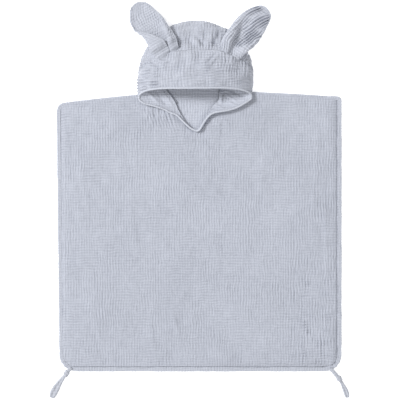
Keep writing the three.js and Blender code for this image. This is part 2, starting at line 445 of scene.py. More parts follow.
def muslin(name, colour, shade, bump=1.0):
    # crinkled double gauze, all of it on the piece's own cloth map
    material = bpy.data.materials.new(name)
    material.use_nodes = True
    tree = material.node_tree
    nodes, links = tree.nodes, tree.links
    shader = nodes["Principled BSDF"]
    setInputs(shader, {"Roughness": weave["roughness"], "Specular IOR Level": weave["specular"],
                       "Sheen Weight": weave["sheen"], "Sheen Roughness": weave["sheenRoughness"]})

    cloth = nodes.new("ShaderNodeUVMap")
    cloth.uv_map = "cloth"

    even = (1.0, 1.0, 1.0)
    tall = (1.0, 0.3, 1.0)
    wide = (0.3, 1.0, 1.0)

    def add(kind, vector, values):
        node = nodes.new(kind)
        setInputs(node, values)
        links.new(vector, node.inputs["Vector"])
        return node

    def noise(scale, stretch, detail=2.0, rough=0.5):
        mapping = add("ShaderNodeMapping", cloth.outputs["UV"], {"Scale": stretch})
        values = {"Scale": scale, "Detail": detail, "Roughness": rough}
        return add("ShaderNodeTexNoise", mapping.outputs["Vector"], values).outputs["Fac"]

    def wave(scale, direction, distortion):
        values = {"Scale": scale, "Distortion": distortion, "Detail": 2.0, "Detail Scale": 0.5}
        node = add("ShaderNodeTexWave", cloth.outputs["UV"], values)
        node.wave_type = "BANDS"
        node.bands_direction = direction
        return node.outputs["Fac"]

    def maths(kind, a, b):
        node = nodes.new("ShaderNodeMath")
        node.operation = kind
        for slot, value in zip(node.inputs, (a, b)):
            if isinstance(value, (int, float)):
                slot.default_value = value
            else:
                links.new(value, slot)
        return node.outputs[0]

    # ribs in both directions, each ruling in its own patches
    patch = nodes.new("ShaderNodeMapRange")
    links.new(noise(weave["patches"], even), patch.inputs["Value"])
    setInputs(patch, {"From Min": 0.40, "From Max": 0.62, "To Min": 0.25, "To Max": 0.80})
    share = patch.outputs["Result"]
    uprightRibs = wave(weave["ribs"], "X", weave["ribWaver"])
    levelRibs = wave(weave["ribs"], "Y", weave["ribWaver"])
    ribs = maths("ADD", maths("MULTIPLY", uprightRibs, share),
                 maths("MULTIPLY", levelRibs, maths("SUBTRACT", 1.0, share)))
    dashes = maths("ADD", maths("MULTIPLY", noise(weave["dashes"], tall, rough=0.6), 0.6),
                   maths("MULTIPLY", noise(weave["dashes"], wide, rough=0.6), 0.4))
    threads = maths("MULTIPLY", wave(weave["threads"], "X", 1.0), wave(weave["threads"], "Y", 1.0))
    height = maths("ADD", maths("MULTIPLY", ribs, 0.50), maths("MULTIPLY", dashes, 1.1))
    height = maths("ADD", height, maths("MULTIPLY", threads, 0.08))

    bumpNode = nodes.new("ShaderNodeBump")
    setInputs(bumpNode, {"Strength": bump, "Distance": weave["depth"]})
    links.new(height, bumpNode.inputs["Height"])
    links.new(bumpNode.outputs["Normal"], shader.inputs["Normal"])

    cloudy = noise(weave["clouds"], even, 3.0)
    # the colour runs from shade to colour by a random cloudy tone and by the bump's height: painted shade
    # darker in the crinkles' valleys, painted highlight lighter on their ridges
    cloudsAndValleyShade = maths("ADD", maths("MULTIPLY", cloudy, 0.35), maths("MULTIPLY", height, 0.75))
    ramp = nodes.new("ShaderNodeValToRGB")
    ramp.color_ramp.elements[0].position = 0.50
    ramp.color_ramp.elements[0].color = (*shade, 1)
    ramp.color_ramp.elements[1].position = 1.0
    ramp.color_ramp.elements[1].color = (*colour, 1)
    links.new(cloudsAndValleyShade, ramp.inputs["Fac"])
    links.new(ramp.outputs["Color"], shader.inputs["Base Color"])
    return material


# each cloth's second colour is the dark end of its ramp: the painted shade in the crinkles' valleys, and the
# dark side of its random cloudy tone
bodyCloth = muslin("bodyMuslin", (0.455, 0.478, 0.545), (0.335, 0.354, 0.412))
hoodCloth = muslin("hoodMuslin", (0.465, 0.487, 0.552), (0.330, 0.348, 0.404))
# painted light: the same muslin made lighter for the back panel, the hood's back and its sides, to lift the
# shade inside the hood
innerPaintedLightCloth = muslin("innerPaintedLightMuslin", (0.520, 0.545, 0.618), (0.385, 0.406, 0.470))
liningPaintedLightCloth = muslin("liningPaintedLightMuslin", (0.520, 0.545, 0.618), (0.385, 0.406, 0.470))
earCloth = muslin("earMuslin", (0.470, 0.492, 0.556), (0.335, 0.353, 0.408), 1.15)
# painted light: the right ear's cloth made lighter than the left's, to lift the shade of its deep stripes
stripedPaintedLightCloth = muslin("stripedEarPaintedLightMuslin", (0.525, 0.549, 0.620), (0.355, 0.374, 0.432), 1.30)
tieCloth = muslin("tieMuslin", (0.470, 0.490, 0.545), (0.360, 0.378, 0.428), 0.6)
tapeCloth = muslin("tapeMuslin", (0.520, 0.544, 0.610), (0.420, 0.440, 0.500), 0.6)
hemCloth = muslin("hemMuslin", (0.472, 0.495, 0.562), (0.362, 0.381, 0.440), 0.9)
threadCloth = muslin("sewingThread", (0.56, 0.584, 0.650), (0.46, 0.482, 0.545), 0.2)


def dress(obj, material):
    obj.data.materials.clear()
    obj.data.materials.append(material)


print("materials ready")


# the two panels
panel = {
    "thickness": 0.0018,
    "binding": 0.0090,
    "bindingHeight": 0.0027,
    "taper": 0.0065,  # the left side leans in towards the hem
    "spare": 0.0030,  # the right side stands a little proud
    "hemCorner": 0.034,
    "leftTop": (-0.0020, 0.0230, 1.4, 0.021),  # level, drop, curve and corner radius
    "rightTop": (0.0015, 0.0125, 1.6, 0.010),
    "shoulder": (0.0062, 0.0062),
    "shoulderDrop": 0.0029,
    "shoulderInner": 0.062,  # from the middle to the seam's inner end
    "shoulderEnds": (0.020, 0.009),  # from each side edge to its outer end
    "puff": 0.0034,
    "puffEdge": 0.0085,
    "groove": 0.0011,  # along the binding's seam
    "drift": 0.0009,
    "soft": 0.00035,
    "gather": 0.0006,  # beside the hem and the sides
    "fan": 0.00078,  # above the right end of the hem
    "pull": 0.00085,  # below the neck slit's left side
    "tuckedIn": 0.0006,  # how far the panel's edge runs into its binding
    "grid": (300, 290),
    "underGrid": (76, 74),
    "backZ": 0.0021,
    "backThickness": 0.0016,
    "backCrinkle": 0.00018,
    "backGrid": (170, 165),
}

# Hood plan points are in hood radii from the middle of the hood's outline
leftSeam = [(-0.63, -0.105), (-0.51, -0.21), (-0.368, -0.404), (-0.28, -0.596), (-0.105, -0.86),
            (0.0, -0.921)]
rightSeam = [(0.56, -0.105), (0.421, -0.228), (0.404, -0.386), (0.298, -0.509), (0.21, -0.649),
             (0.123, -0.807), (0.053, -0.912)]
leftEdge = [(-0.90, -0.14), (-0.955, -0.26), (-0.985, -0.37), (-0.895, -0.456), (-0.72, -0.50),
            (-0.544, -0.561), (-0.421, -0.623), (-0.316, -0.667), (-0.193, -0.789),
            (-0.07, -0.895), (0.035, -0.939)]
rightEdge = [(0.90, -0.14), (0.955, -0.26), (0.980, -0.36), (0.825, -0.474), (0.684, -0.544),
             (0.509, -0.588), (0.351, -0.614), (0.246, -0.667), (0.158, -0.772), (0.088, -0.895),
             (0.035, -0.939)]


def hoodPlan(points):
    pts = np.array(points, float)
    return np.stack([hoodX + pts[:, 0] * hoodR, hoodY + pts[:, 1] * hoodR], axis=1)


def shoulderLine(x):
    mid = hoodX
    leftLevel, leftDrop, leftPower, _ = panel["leftTop"]
    rightLevel, rightDrop, rightPower, _ = panel["rightTop"]
    left = np.clip((mid - 0.05 - x) / (mid - 0.05 - sideLeft), 0, 1)
    right = np.clip((x - mid - 0.05) / (sideRight - mid - 0.05), 0, 1)
    return (shoulderY + np.where(x < mid, leftLevel, rightLevel)
            - leftDrop * left ** leftPower - rightDrop * right ** rightPower)


def frontTop(x):
    # upper edge of the front panel: the shoulders and the V of the neck slit
    tuck = np.array([0.0035, 0.0])
    line = np.vstack([hoodPlan(leftSeam[1:]) - tuck, hoodPlan(rightSeam[1:])[::-1] + tuck])
    line[:, 1] -= 0.0015
    order = np.argsort(line[:, 0])
    neck = np.interp(x, line[order, 0], line[order, 1], left=1.0, right=1.0)
    return np.minimum(shoulderLine(x), neck)


def backTop(x):
    scoop = 1 - smoothStep(0.047, 0.060, np.abs(x - hoodX))
    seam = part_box("hood_back")[0][1] + 0.0030
    return shoulderLine(x) * (1 - scoop) + seam * scoop


def cornerTurn(radius, reach):
    # how far a rounded corner turns in. reach is 0 where it starts and 1 at its end
    return radius * (1 - np.sqrt(np.maximum(1 - np.clip(reach, 0, 1) ** 2, 0)))


def shoulderTurn(y, inset, corner):
    topLevel, drop, _, radius = corner
    r = max(radius - inset * 0.6, 0.003)
    return cornerTurn(r, (y - (shoulderY + topLevel - drop - r)) / r)


def outline(u, v, inset, top, topInset=0.0):
    # plan position of the panel's grid point (u, v), on an outline inset from the edge
    left = sideLeft + inset
    right = sideRight + panel["spare"] - inset
    x0 = left + u * (right - left)
    low = hemY + inset
    y = low + v * (top(x0) - topInset - low)
    lean = panel["taper"] * (1 - (y - hemY) / (shoulderY - hemY))
    hemRadius = max(panel["hemCorner"] - inset * 0.6, 0.004)
    hemTurn = cornerTurn(hemRadius, (low + hemRadius - y) / hemRadius)
    leftX = left + lean + hemTurn + shoulderTurn(y, inset, panel["leftTop"])
    rightX = right - hemTurn - shoulderTurn(y, inset, panel["rightTop"])
    return leftX + u * (rightX - leftX), y


foldRng = np.random.default_rng(21)
frontFolds = []
for k in range(6):  # gathers below the left edge of the neck slit
    jitter, reach, strength = foldRng.random(3)
    start = 0.322 + 0.0150 * k + 0.006 * jitter
    frontFolds.append((start, 0.962 - 0.0060 * k, start + 0.006 * (k - 1), 0.915 - 0.006 * k - 0.02 * reach,
                       0.0030 + 0.0010 * reach, 0.0011 + 0.0008 * strength))
frontFolds += [
    (0.540, 0.915, 0.585, 0.872, 0.0036, 0.0012),
    (0.575, 0.914, 0.612, 0.880, 0.0034, 0.0010),
    (0.520, 0.893, 0.552, 0.850, 0.0038, 0.0010),
    (0.404, 0.226, 0.437, 0.120, 0.0045, 0.0011),
    (0.330, 0.205, 0.345, 0.060, 0.0050, 0.0008),
    (0.120, 0.230, 0.170, 0.080, 0.0055, 0.0009),
    (0.945, 0.620, 0.955, 0.300, 0.0045, 0.0010),
    (0.925, 0.900, 0.905, 0.560, 0.0060, 0.0008),
    (0.070, 0.820, 0.115, 0.560, 0.0060, 0.0007),
    (0.740, 0.800, 0.700, 0.560, 0.0070, 0.0006),
    (0.250, 0.640, 0.290, 0.420, 0.0070, 0.0006),
]
for k in range(7):  # short level crinkles beside the left binding
    frontFolds.append((0.015, 0.330 + 0.014 * k, 0.052, 0.336 + 0.014 * k, 0.0022, 0.0008))


def panelFolds(x, y):
    width = sideRight - sideLeft
    length = shoulderY - hemY
    scaled = [(sideLeft + a * width, hemY + b * length, sideLeft + c * width, hemY + d * length, w, h)
              for a, b, c, d, w, h in frontFolds]
    return creases(x, y, scaled)


def edgeDistance(x, y, inset, top):
    left = x - (sideLeft + inset)
    right = (sideRight + panel["spare"] - inset) - x
    low = y - (hemY + inset)
    high = top(x) - y
    return np.maximum(np.minimum(np.minimum(left, right), np.minimum(low, high)), 0)


def frontHeight(x, y, inset):
    near = edgeDistance(x, y, inset, frontTop)
    puff = panel["puff"] * (1 - np.exp(-near / panel["puffEdge"]))
    puff = puff - panel["groove"] * np.exp(-(near / 0.0021) ** 2)
    inside = smoothStep(0.0, 0.012, near)
    broad = panel["drift"] * sample(drift, x, y) + panel["soft"] * sample(soft, x, y)
    lean = 0.4 * smoothStep(0.0, 0.2, x) - 1.1 * smoothStep(0.05, 0.25, -x) * smoothStep(-0.05, 0.15, y)
    fine = gauze["height"] * crinkle(x, y, lean)
    side = np.minimum(x - sideLeft, sideRight - x)
    hem = y - hemY
    gather = panel["gather"] * (np.exp(-hem / 0.020) * sample(upright, x, 0.3 + 0.1 * y)
                                + np.exp(-side / 0.018) * sample(level, 0.3 + 0.1 * x, y))
    stretch = (0.60 + 0.65 * (1 - smoothStep(0.0, 0.15, near))
               + 1.05 * smoothStep(0.10, 0.28, x) * smoothStep(0.05, 0.25, -y)
               + 0.35 * smoothStep(0.05, 0.25, -x) * smoothStep(0.0, 0.15, y))
    fan = np.exp(-((x - sideRight + 0.058) / 0.046) ** 4 - ((y - hemY - 0.085) / 0.090) ** 2)
    spread = 1 + 1.6 * (y - hemY - 0.12)
    fanned = panel["fan"] * fan * sample(upright, (x - sideRight + 0.060) * spread + 0.27, y * 0.45)
    pulled = np.exp(-((x - hoodX + 0.072) / 0.034) ** 2 - ((y - shoulderY + 0.048) / 0.026) ** 2)
    pulled = panel["pull"] * pulled * sample(upright, x * 0.85 + 0.30 * y, y * 0.30)
    return (frontZ + 0.0014 + puff + inside * (broad + panelFolds(x, y) + gather + fanned + pulled)
            + (0.3 + 0.7 * inside) * fine * stretch)


def panelGrid(columns, rows, inset, top):
    u, v = np.meshgrid(np.linspace(0, 1, columns), np.linspace(0, 1, rows))
    return outline(u, v, inset, top)


def makeFront():
    inset = panel["binding"] - panel["tuckedIn"]
    x, y = panelGrid(*panel["grid"], inset, frontTop)
    top = asPoints(x, y, frontHeight(x, y, inset))
    topUv = asPoints(x, y)
    x, y = panelGrid(*panel["underGrid"], inset, frontTop)
    near = edgeDistance(x, y, inset, frontTop)
    lower = frontHeight(x, y, inset) - panel["thickness"] - 0.0009 * smoothStep(0, 0.02, near)
    under = asPoints(x, y, lower)
    obj = twoFacedSheet("frontPanel", top, topUv, under[:, ::-1], asPoints(x, y)[:, ::-1])
    dress(obj, bodyCloth)
    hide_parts("front_panel")
    return obj


def makeBack():
    inset = panel["binding"] - panel["tuckedIn"]
    x, y = panelGrid(*panel["backGrid"], inset, backTop)
    near = edgeDistance(x, y, inset, backTop)
    cut = x + clothAt["backPanel"]
    fine = panel["backCrinkle"] * crinkle(cut, y, 0.6)
    z = panel["backZ"] + fine + 0.0004 * smoothStep(0, 0.03, near)
    obj = thickSheet("backPanel", asPoints(x, y, z), asPoints(cut, y), panel["backThickness"])
    dress(obj, innerPaintedLightCloth)
    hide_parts("back_panel")
    return obj


front = makeFront()
back = makeBack()
print("panels ready")


# bindings of the panels
def borderPath(inset, top, count=760):
    # round the panel from the left shoulder down, along the hem and up to the right shoulder
    over = np.stack([np.linspace(0.03, 0.0, 12), np.ones(12)], axis=1)
    down = np.stack([np.zeros(300), np.linspace(1.0, 0.0, 300)], axis=1)
    across = np.stack([np.linspace(0, 1, 240), np.zeros(240)], axis=1)
    mirrored = np.vstack([over, down[1:]])[::-1] * [-1, 1] + [1, 0]
    uv = np.vstack([over, down[1:], across[1:], mirrored[1:]])
    x, y = outline(uv[:, 0], uv[:, 1], inset, top, topInset=inset * 0.75)
    points = asPoints(x, y)
    return curveThrough(points[spaced(points, 0.0022)], count)


stitch = {
    "width": 0.0006,
    "height": 0.0005,
    "border": (0.0032, 0.0024),  # pitch, and length of one stitch
    "earSeam": (0.0034, 0.0025),
}


def addStitches(name, path, ups, kind):
    # short rounded stitches along a path: one stitch, repeated, then laid along it
    pitch, length = stitch[kind]
    path = np.asarray(path, float)
    along = distanceAlong(path)
    count = int(along[-1] / pitch)
    at = (np.arange(count) + 0.5) * pitch
    middle = pick(at, along, path)
    ahead = pick(at + 1e-4, along, path)
    up = pick(at, along, ups)
    tangent = ahead - middle
    tangent /= np.maximum(np.linalg.norm(tangent, axis=1, keepdims=True), 1e-12)
    side = np.cross(tangent, up)
    deselectAll()
    bpy.ops.mesh.primitive_uv_sphere_add(segments=6, ring_count=4, radius=1)
    obj = bpy.context.object
    obj.name = name
    gap = 3.0
    applyModifier(obj, "ARRAY", fit_type="FIXED_COUNT", count=count, use_relative_offset=False,
                  use_constant_offset=True, constant_offset_displace=(0, 0, gap))
    mesh = obj.data
    mesh.name = name
    x, y, z = placesOf(mesh).T
    k = np.rint(z / gap).astype(int)
    own = (z - k * gap) * length / 2
    across = (x * stitch["width"] / 2)[:, None] * side[k]
    points = middle[k] + own[:, None] * tangent[k] + across + (y * stitch["height"] / 2)[:, None] * up[k]
    mesh.vertices.foreach_set("co", points.astype(np.float32).ravel())
    setClothMap(mesh, points[:, :2])
    finishMesh(obj)
    dress(obj, threadCloth)
    return obj


def makeBinding(name, top, z, nodes):
    width = panel["binding"]
    path = borderPath(width / 2, top)
    pull = sample(upright, path[:, 0], path[:, 1]) + sample(level, path[:, 0] + 0.2, path[:, 1])
    points = np.column_stack([path, np.full(len(path), z) + 0.00012 * pull])
    ups = levelUps(len(path))
    grow = (1 + 0.05 * pull)[:, None, None] * [[[1.0, 1.0]]]
    ring = np.array(roundedRing(width, panel["bindingHeight"], 18, 3.0))[None] * grow
    obj = tube(name, points, ups, ring)
    dress(obj, hemCloth)
    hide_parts(*nodes)
    stitchPath = borderPath(width - 0.0018, top)
    stitchPoints = np.column_stack([stitchPath, np.full(len(stitchPath), z + 0.00125)])
    stitches = addStitches(name + "Stitches", stitchPoints, levelUps(len(stitchPath)), "border")
    return obj, stitches


frontTape, frontStitches = makeBinding(
    "frontBinding", frontTop, frontZ + 0.0014,
    ["front_side_binding_left", "front_side_binding_right", "front_hem_binding"])
backTape, backStitches = makeBinding(
    "backBinding", backTop, 0.0014,
    ["back_side_binding_left", "back_side_binding_right", "back_hem_binding"])


def makeShoulder(side):
    # the sewn edge along one shoulder: the two panels turned in on each other
    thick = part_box("shoulder_seam_" + side)[1][2]
    inner = panel["shoulderInner"]
    leftEnd, rightEnd = panel["shoulderEnds"]
    if side == "left":
        xs = np.linspace(hoodX - inner, sideLeft + leftEnd, 130)
    else:
        xs = np.linspace(hoodX + inner, sideRight - rightEnd, 130)
    ys = shoulderLine(xs) - panel["shoulderDrop"]
    zs = np.full_like(xs, thick / 2 + 0.0004) + 0.0002 * sample(level, ys, xs)
    path = np.column_stack([xs, ys, zs])
    run = np.abs(xs - xs[0])
    taper = (0.4 + 0.6 * smoothStep(0, 0.016, run)) * (0.5 + 0.5 * smoothStep(0, 0.010, run[-1] - run))
    ring = np.array(roundedRing(*panel["shoulder"], 14, 2.2))[None] * taper[:, None, None]
    obj = tube("shoulderSeam" + side.title(), path, levelUps(len(xs)), ring)
    dress(obj, bodyCloth)
    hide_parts("shoulder_seam_" + side)
    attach(obj, "back")
    return obj


shoulders = {side: makeShoulder(side) for side in ("left", "right")}
print("bindings and shoulders ready")


# hood
hood = {
    "height": crownTop - 0.0045,
    "thickness": 0.0015,
    "lipMiddle": -0.200,  # the face edge over the forehead, in hood radii
    "lipEnd": -0.37,
    "lipPower": 2.0,
    "seamMiddle": 0.468,  # the ear seam
    "seamEnd": 0.09,
    "crownSag": 0.0045,
    "folds": 1.1,  # how strongly the creases below are drawn
    "crinkle": 0.00068,
    "swell": 0.0012,
    "footLift": 0.0052,  # how far the side edges stand up where they lie on the front panel
    "brimGrid": (210, 84),
    "crownGrid": (200, 84),
    "backGrid": (130, 110),
    "backThickness": 0.0014,
    "backZ": 0.0021,
    "backCrinkle": 0.00018,
    "neckHalf": 0.060,  # half width of the hood back where it meets the neck
    "neckCorner": 0.016,
    "baseZ": 0.0030,  # height of the shell's foot
    "arch": 0.92,  # below 1 the arch is fuller than round
    "crownZ": 0.0016,
    "crownRise": 0.0014,  # the crown's own height over the brim's
    "bendBefore": 0.004,  # places before and after the neck seam
    "bendAfter": 0.024,
}

hoodFolds = [  # hood radii, half width and height in metres
    (0.02, 0.72, 0.17, 0.53, 0.0050, -0.0046),
    (0.44, 0.80, 0.30, 0.52, 0.0060, -0.0030),
    (-0.14, 0.70, -0.02, 0.52, 0.0060, -0.0018),
    (0.35, 0.38, 0.19, 0.21, 0.0024, -0.0016),
    (0.38, 0.35, 0.24, 0.17, 0.0026, 0.0013),
    (0.30, 0.78, 0.38, 0.50, 0.0040, -0.0016),
    (-0.44, 0.62, -0.30, 0.50, 0.0040, -0.0020),
    (-0.60, 0.20, -0.30, 0.36, 0.0030, 0.0012),
    (0.45, 0.05, 0.80, 0.12, 0.0040, -0.0012),
    (0.10, 0.10, 0.14, -0.14, 0.0045, 0.0009),
    (-0.22, 0.30, -0.20, -0.10, 0.0035, 0.0009),
]
for k in range(9):  # level gathers down the hood's left side, fewer on the right
    low = 0.28 - 0.066 * k
    hoodFolds.append((-1.0, low - 0.05, -0.64 + 0.05 * (k % 3), low + 0.012 * (k % 2), 0.0023, 0.0021))
    if k > 1:
        hoodFolds.append((1.0, low - 0.04, 0.76 - 0.05 * (k % 3), low, 0.0025, 0.0011))
for k in range(8):  # upright crinkles fanning up over the crown
    hoodFolds.append((-0.30 + 0.115 * k, 0.50, -0.34 + 0.125 * k, 0.88 - 0.02 * (k % 3), 0.0026,
                      0.0011 if k % 2 else -0.0012))


def hoodHeightAt(x, y):
    # height of the hood's outer surface over a plan point, before folds
    up = np.maximum(y - hoodY, 0)
    rho = np.clip((x - hoodX) ** 2 + up ** 2, 0, hoodR ** 2) / hoodR ** 2
    return hood["height"] * np.sqrt(1 - rho)


def lipY(phi):
    drop = (hood["lipMiddle"] - hood["lipEnd"]) * (1 - np.sin(phi)) ** hood["lipPower"]
    wave = 0.006 * np.sin(3.1 * phi + 0.4) * np.sin(phi)
    return hoodY + hoodR * (hood["lipMiddle"] - drop + wave)


def seamY(phi):
    s = np.sin(phi)
    shape = s ** 1.15
    tilt = 0.03 * np.cos(phi)
    waver = 0.007 * np.sin(7.0 * phi + 1.0) + 0.005 * np.sin(13.0 * phi)
    return hoodY + hoodR * (hood["seamEnd"] + (hood["seamMiddle"] - hood["seamEnd"]) * shape - tilt * 0.8
                            + waver * s)


def footLift(y):
    return hood["footLift"] * (1 - smoothStep(0.0, 0.016, y - (shoulderY - 0.011)))


def shellPoint(phi, y):
    # point of the hood's shell at arch angle phi (0 left, pi right) and depth y
    up = np.maximum(y - hoodY, 0)
    w = np.sqrt(np.maximum(1 - (up / hoodR) ** 2, 0))
    x = hoodX - hoodR * w * np.cos(phi)
    z = hood["baseZ"] + hood["height"] * w * np.sin(phi) ** hood["arch"]
    z = z + footLift(y) * (1 - smoothStep(0, 0.6, np.sin(phi)))
    return asPoints(x, y, z)


def onHood(folds):
    # folds given in hood radii, set out on the hood's plan
    return [(hoodX + a * hoodR, hoodY + b * hoodR, hoodX + c * hoodR, hoodY + d * hoodR, w, h)
            for a, b, c, d, w, h in folds]


def hoodRelief(x, y, lean):
    return (hood["folds"] * creases(x, y, onHood(hoodFolds))
            + hood["crinkle"] * crinkle(x + 0.13, y + 0.2, lean)
            + hood["swell"] * sample(soft, x + 0.2, y) + hood["swell"] * sample(drift, x + 0.5, y))


def makeBrim():
    columns, rows = hood["brimGrid"]
    phi, t = np.meshgrid(np.linspace(0.0, math.pi, columns), np.linspace(0, 1, rows))
    y = lipY(phi) + (seamY(phi) - lipY(phi)) * t
    base = shellPoint(phi, y)
    n = normalsOf(base)
    relief = hoodRelief(base[..., 0], base[..., 1], -0.35)
    soften = smoothStep(0, 0.05, t) * (1 - 0.6 * smoothStep(0.93, 1, t))
    overEars = np.exp(-((phi - 1.08) / 0.23) ** 4) + np.exp(-((phi - 2.18) / 0.22) ** 4)
    seamDip = (0.0036 * overEars - 0.0010) * smoothStep(0.78, 0.97, t) - 0.0016 * smoothStep(0.96, 1.0, t)
    points = base + n * (relief * soften + seamDip)[..., None]
    uv = asPoints(phi * hoodR * 0.8, base[..., 1])
    obj = thickSheet("hoodBrim", points, uv, hood["thickness"])
    dress(obj, hoodCloth)
    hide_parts("hood_brim")
    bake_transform(obj)
    return obj, points


def crownPlan(s, t):
    # plan point of the crown: s runs along the ear seam, t from the seam to the outline
    phi = math.pi * s
    start = shellPoint(phi, seamY(phi))[..., :2]
    angle = math.pi - phi
    end = asPoints(hoodX + hoodR * np.cos(angle), hoodY + hoodR * np.sin(angle))
    endLow = hoodY + hoodR * hood["seamEnd"]
    end[..., 1] = np.maximum(end[..., 1], endLow)
    k = np.sin(t * math.pi / 2)[..., None]
    return start + (end - start) * k


def makeCrown(brimPoints):
    columns, rows = hood["crownGrid"]
    s, t = np.meshgrid(np.linspace(0.0, 1.0, columns), np.linspace(0, 1, rows))
    plan = crownPlan(s, t)
    x, y = plan[..., 0], plan[..., 1]
    up = np.maximum(y - hoodY, 0)
    rho = np.clip(((x - hoodX) ** 2 + up ** 2) / hoodR ** 2, 0, 1)
    z = hood["crownZ"] + (hood["height"] + hood["crownRise"]) * np.sqrt(1 - rho)
    edge = np.sin(math.pi * s)
    sag = hood["crownSag"] * smoothStep(0.0, 0.22, t) * (1 - smoothStep(0.45, 0.95, t)) * edge
    base = asPoints(x, y, z)
    n = normalsOf(base)
    relief = hoodRelief(x, y, 0.3)
    soften = smoothStep(0, 0.06, t) * (1 - smoothStep(0.90, 1, t))
    soften = soften * smoothStep(0, 0.04, s) * (1 - smoothStep(0.96, 1, s))
    points = base + n * (relief * soften - sag)[..., None]
    # the first row lies along the brim's last one
    at = np.linspace(0, 1, brimPoints.shape[1])
    seam = pick(s[0], at, brimPoints[-1])
    shift = seam - points[0] - [0, 0, 0.0003]
    points = points + shift[None] * (1 - smoothStep(0.0, 0.16, t))[..., None]
    uv = asPoints(s * hoodR * 2.6, clothAt["crown"] + t * hoodR * 0.95)
    obj = thickSheet("hoodCrown", points, uv, hood["thickness"])
    dress(obj, hoodCloth)
    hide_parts("hood_crown")
    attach(obj, "hood")
    return obj


def makeHoodBack():
    columns, rows = hood["backGrid"]
    u, v = np.meshgrid(np.linspace(-1, 1, columns), np.linspace(0, 1, rows))
    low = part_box("hood_back")[0][1] - 0.0030
    top = hoodY + (hoodR - 0.0015) * np.sqrt(np.maximum(1 - u ** 2 * 0.985, 0.0))
    neckHalf = hood["neckHalf"]
    rise = smoothStep(neckHalf, neckHalf + hood["neckCorner"], np.abs(u) * hoodR)
    bottom = low + (shoulderY + 0.0004 - low) * rise
    y = bottom + (top - bottom) * v
    x = hoodX + u * (hoodR - 0.0010)
    cut = x + clothAt["hoodBack"]
    z = hood["backZ"] + 0.0004 * smoothStep(0, 0.2, v) + hood["backCrinkle"] * crinkle(cut, y, 0.5)
    z = z + 0.0007 * (1 - smoothStep(low + 0.004, low + 0.016, y))
    z = z + (footLift(y) + 0.0012) * smoothStep(0.90, 1.0, np.abs(u))
    obj = thickSheet("hoodBack", asPoints(x, y, z), asPoints(cut, y), hood["backThickness"])
    dress(obj, liningPaintedLightCloth)
    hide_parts("hood_back")
    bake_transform(obj)
    return obj


brim, brimPoints = makeBrim()
seamUps = normalsOf(brimPoints)[-5, 4:-4]
seamLine = brimPoints[-5, 4:-4] + 0.0001 * seamUps
seamStitches = addStitches("earSeamStitches", seamLine, seamUps, "earSeam")
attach(seamStitches, "hood")
crown = makeCrown(brimPoints)
hoodBack = makeHoodBack()
print("hood ready")


# hood sides and face binding
collar = {
    "thickness": 0.0015,
    "seamZ": (0.0045, 0.0078, 0.0072),  # the neck seam's, at the corner, part way and at the V
    "leftZ": (0.0150, 0.0120, 0.0100),  # the edge's height at the corner, half way and at the V
    "rightZ": (0.0160, 0.0175, 0.0110),
    "crinkle": 0.00022,
    "grid": (110, 60),
}


def collarPoints(seam, edge, heights):
    rows, columns = collar["grid"]
    inner = curveThrough(hoodPlan(seam), rows)
    outer = curveThrough(hoodPlan(edge), rows)
    s = np.linspace(0, 1, rows)
    t = np.linspace(0, 1, columns)[None, :]
    k = t ** 0.95
    x = inner[:, :1] + (outer[:, :1] - inner[:, :1]) * k
    y = inner[:, 1:] + (outer[:, 1:] - inner[:, 1:]) * k
    corner, middle, low = heights
    edgeZ = np.interp(s, [0, 0.22, 0.6, 1.0], [corner + 0.004, corner, middle, low])[:, None]
    seamZ = np.interp(s, [0, 0.3, 1.0], collar["seamZ"])[:, None]
    z = seamZ + (edgeZ - seamZ) * t ** 1.6
    return x, y, z, t


def makeCollar(side):
    if side == "left":
        x, y, z, t = collarPoints(leftSeam, leftEdge, collar["leftZ"])
        folds = [(-0.86, -0.24, -0.62, -0.46, 0.0032, 0.0016), (-0.70, -0.22, -0.50, -0.50, 0.0034, -0.0014),
                 (-0.60, -0.20, -0.38, -0.52, 0.0028, 0.0011)]
    else:
        x, y, z, t = collarPoints(rightSeam, rightEdge, collar["rightZ"])
        folds = [(0.42, -0.20, 0.45, -0.44, 0.0034, 0.0042), (0.52, -0.30, 0.72, -0.42, 0.0026, 0.0018),
                 (0.56, -0.42, 0.74, -0.50, 0.0020, 0.0014), (0.60, -0.22, 0.86, -0.34, 0.0040, -0.0022),
                 (0.34, -0.48, 0.50, -0.54, 0.0026, 0.0016), (0.27, -0.56, 0.40, -0.58, 0.0022, -0.0010)]
    cut = x + clothAt["hoodSide"]
    z = (z + creases(x, y, onHood(folds)) * smoothStep(0, 0.1, t)
         + collar["crinkle"] * crinkle(cut, y, -0.2))
    points, uv = facingUp(asPoints(x, y, z), asPoints(cut, y))
    obj = thickSheet("hoodSide" + side.title(), points, uv, collar["thickness"])
    dress(obj, liningPaintedLightCloth)
    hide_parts("hood_side_" + side)
    return obj, points


def edgeOf(points):
    # the outer column of a hood side: the one further from the middle of the hood
    first = np.abs(points[5, 0, 0] - hoodX)
    last = np.abs(points[5, -1, 0] - hoodX)
    return points[:, 0] if first > last else points[:, -1]


sides = {side: makeCollar(side) for side in ("left", "right")}

tape = {
    "size": (0.0042, 0.0030),
    "turnFrom": -0.365,  # where it leaves the hood's edge for the collar's, in hood radii
    "turnTo": -0.450,
    "faceFrom": 0.20,  # arch angle where it meets the hood's edge
    "sink": 0.0006,
    "ahead": 0.0008,
}


def makeSlitBinding():
    # down one side of the neck slit and up the other, from end to end of the face binding
    left = edgeOf(sides["left"][1])
    right = edgeOf(sides["right"][1])
    start = hoodY + tape["turnTo"] * hoodR + 0.0040
    left = left[left[:, 1] < start]
    right = right[right[:, 1] < start]
    path = curveThrough(np.vstack([left[:-1:4], right[::4][::-1]]), 330)
    ups = levelUps(len(path))
    obj = tube("slitBinding", path, ups, roundedRing(*tape["size"], 12, 2.3))
    dress(obj, tapeCloth)
    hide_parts("slit_binding_left", "slit_binding_right")
    return obj


